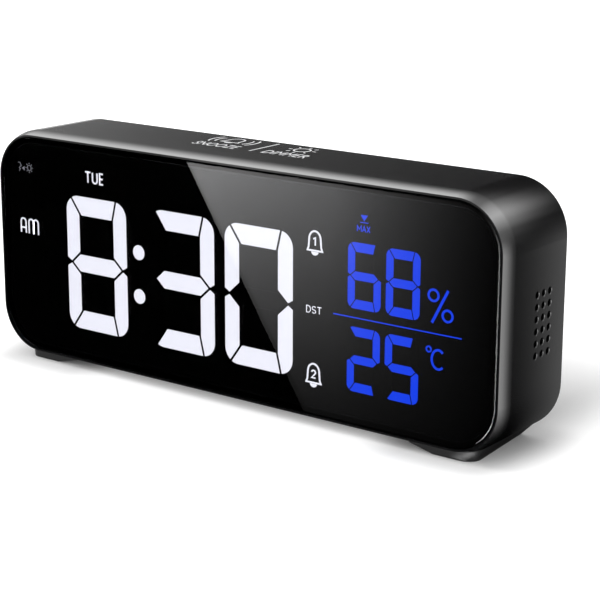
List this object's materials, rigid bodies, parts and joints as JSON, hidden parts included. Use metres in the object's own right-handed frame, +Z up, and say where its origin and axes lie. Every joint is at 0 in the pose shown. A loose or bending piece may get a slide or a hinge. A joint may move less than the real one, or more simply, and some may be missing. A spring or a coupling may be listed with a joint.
{
  "type": "digital table clock with thermometer and hygrometer",
  "caption": "Low, wide black digital table clock with rounded corners, a smoked lens, lit segment digits for time, humidity and temperature, side vents, rear keys and rubber feet.",
  "frame": {"origin": "on the table plane under the feet, midway across the width and midway between the front plane and the rear edge of the shell", "axes": "+X to the right as seen from the front, +Y from the front to the back, +Z up"},
  "size_m": [0.1806, 0.0312, 0.0714],
  "materials": {
    "shell": "black ABS with a fine satin texture",
    "lens": "smoked clear acrylic, polished",
    "tape": "black adhesive foam",
    "reflector": "black ABS, matt",
    "white_light": "milky polycarbonate, lit white",
    "blue_light": "milky polycarbonate, lit blue",
    "dark_window": "smoked polycarbonate, unlit",
    "board": "green glass-fibre board with solder mask",
    "led": "chip LED with phosphor resin",
    "chip": "black moulding compound",
    "switch_body": "black nylon",
    "plunger": "black nylon",
    "key": "black ABS, satin",
    "screw": "black zinc-plated steel",
    "inlet_steel": "drawn and tinned steel",
    "inlet_plastic": "black liquid-crystal polymer",
    "door": "black ABS, satin",
    "cell_steel": "rolled stainless steel",
    "contact": "nickel-plated spring strip",
    "speaker_steel": "pressed and zinc-plated steel",
    "speaker_film": "thermoformed polyester film",
    "magnet": "ferrite in a steel cup",
    "mic_can": "drawn aluminium can",
    "sleeve": "black silicone rubber",
    "sensor_body": "white polymer",
    "bead": "epoxy bead on tinned legs",
    "lead_skin": "PVC-covered lead",
    "foot": "black elastomer, satin"
  },
  "bodies": {
    "case": {"housing": "shell", "rear_cover": "shell", "front_lens": "lens", "lens_tape": "tape", "display_frame": "reflector", "time_segments": "white_light", "humidity_segments": "blue_light", "temperature_segments": "blue_light", "time_segments_dark": "dark_window", "climate_segments_dark": "dark_window", "led_board": "board", "control_board": "board", "sensor_board": "board", "led_chips": "led", "controller_chip": "chip", "header_strip": "chip", "header_socket": "chip", "tact_switches": "switch_body", "display_screws": "screw", "board_screws": "screw", "cover_screws": "screw", "usb_shell": "inlet_steel", "usb_tongue": "inlet_plastic", "coin_cell": "cell_steel", "cell_contact_minus": "contact", "cell_contact_plus": "contact", "snooze_electrode": "contact", "dimmer_electrode": "contact", "speaker_basket": "speaker_steel", "speaker_cone": "speaker_film", "speaker_magnet": "magnet", "microphone": "mic_can", "mic_sleeve": "sleeve", "humidity_sensor": "sensor_body", "thermistor": "bead", "touch_leads": "lead_skin", "speaker_lead": "lead_skin", "sensor_lead": "lead_skin", "foot_left": "foot", "foot_right": "foot"},
    "time_key": {"time_key": "key", "time_plunger": "plunger"},
    "alarm_one_key": {"alarm_one_key": "key", "alarm_one_plunger": "plunger"},
    "alarm_two_key": {"alarm_two_key": "key", "alarm_two_plunger": "plunger"},
    "memory_key": {"memory_key": "key", "memory_plunger": "plunger"},
    "minus_key": {"minus_key": "key", "minus_plunger": "plunger"},
    "plus_key": {"plus_key": "key", "plus_plunger": "plunger"},
    "cell_door": {"cell_door": "door"}
  },
  "joints": [
    {"name": "time_press", "type": "slide", "parent": "case", "child": "time_key", "axis": [0, -1, 0], "range_m": [0, 0.0006], "stiffness_N_per_m": 300},
    {"name": "alarm_one_press", "type": "slide", "parent": "case", "child": "alarm_one_key", "axis": [0, -1, 0], "range_m": [0, 0.0006], "stiffness_N_per_m": 300},
    {"name": "alarm_two_press", "type": "slide", "parent": "case", "child": "alarm_two_key", "axis": [0, -1, 0], "range_m": [0, 0.0006], "stiffness_N_per_m": 300},
    {"name": "memory_press", "type": "slide", "parent": "case", "child": "memory_key", "axis": [0, -1, 0], "range_m": [0, 0.0006], "stiffness_N_per_m": 300},
    {"name": "minus_press", "type": "slide", "parent": "case", "child": "minus_key", "axis": [0, -1, 0], "range_m": [0, 0.0006], "stiffness_N_per_m": 300},
    {"name": "plus_press", "type": "slide", "parent": "case", "child": "plus_key", "axis": [0, -1, 0], "range_m": [0, 0.0006], "stiffness_N_per_m": 300},
    {"name": "cell_door_turn", "type": "hinge", "parent": "case", "child": "cell_door", "pos_m": [-0.012, 0.0135, 0.0276], "axis": [0, 1, 0], "range_deg": [0, 60]}
  ]
}
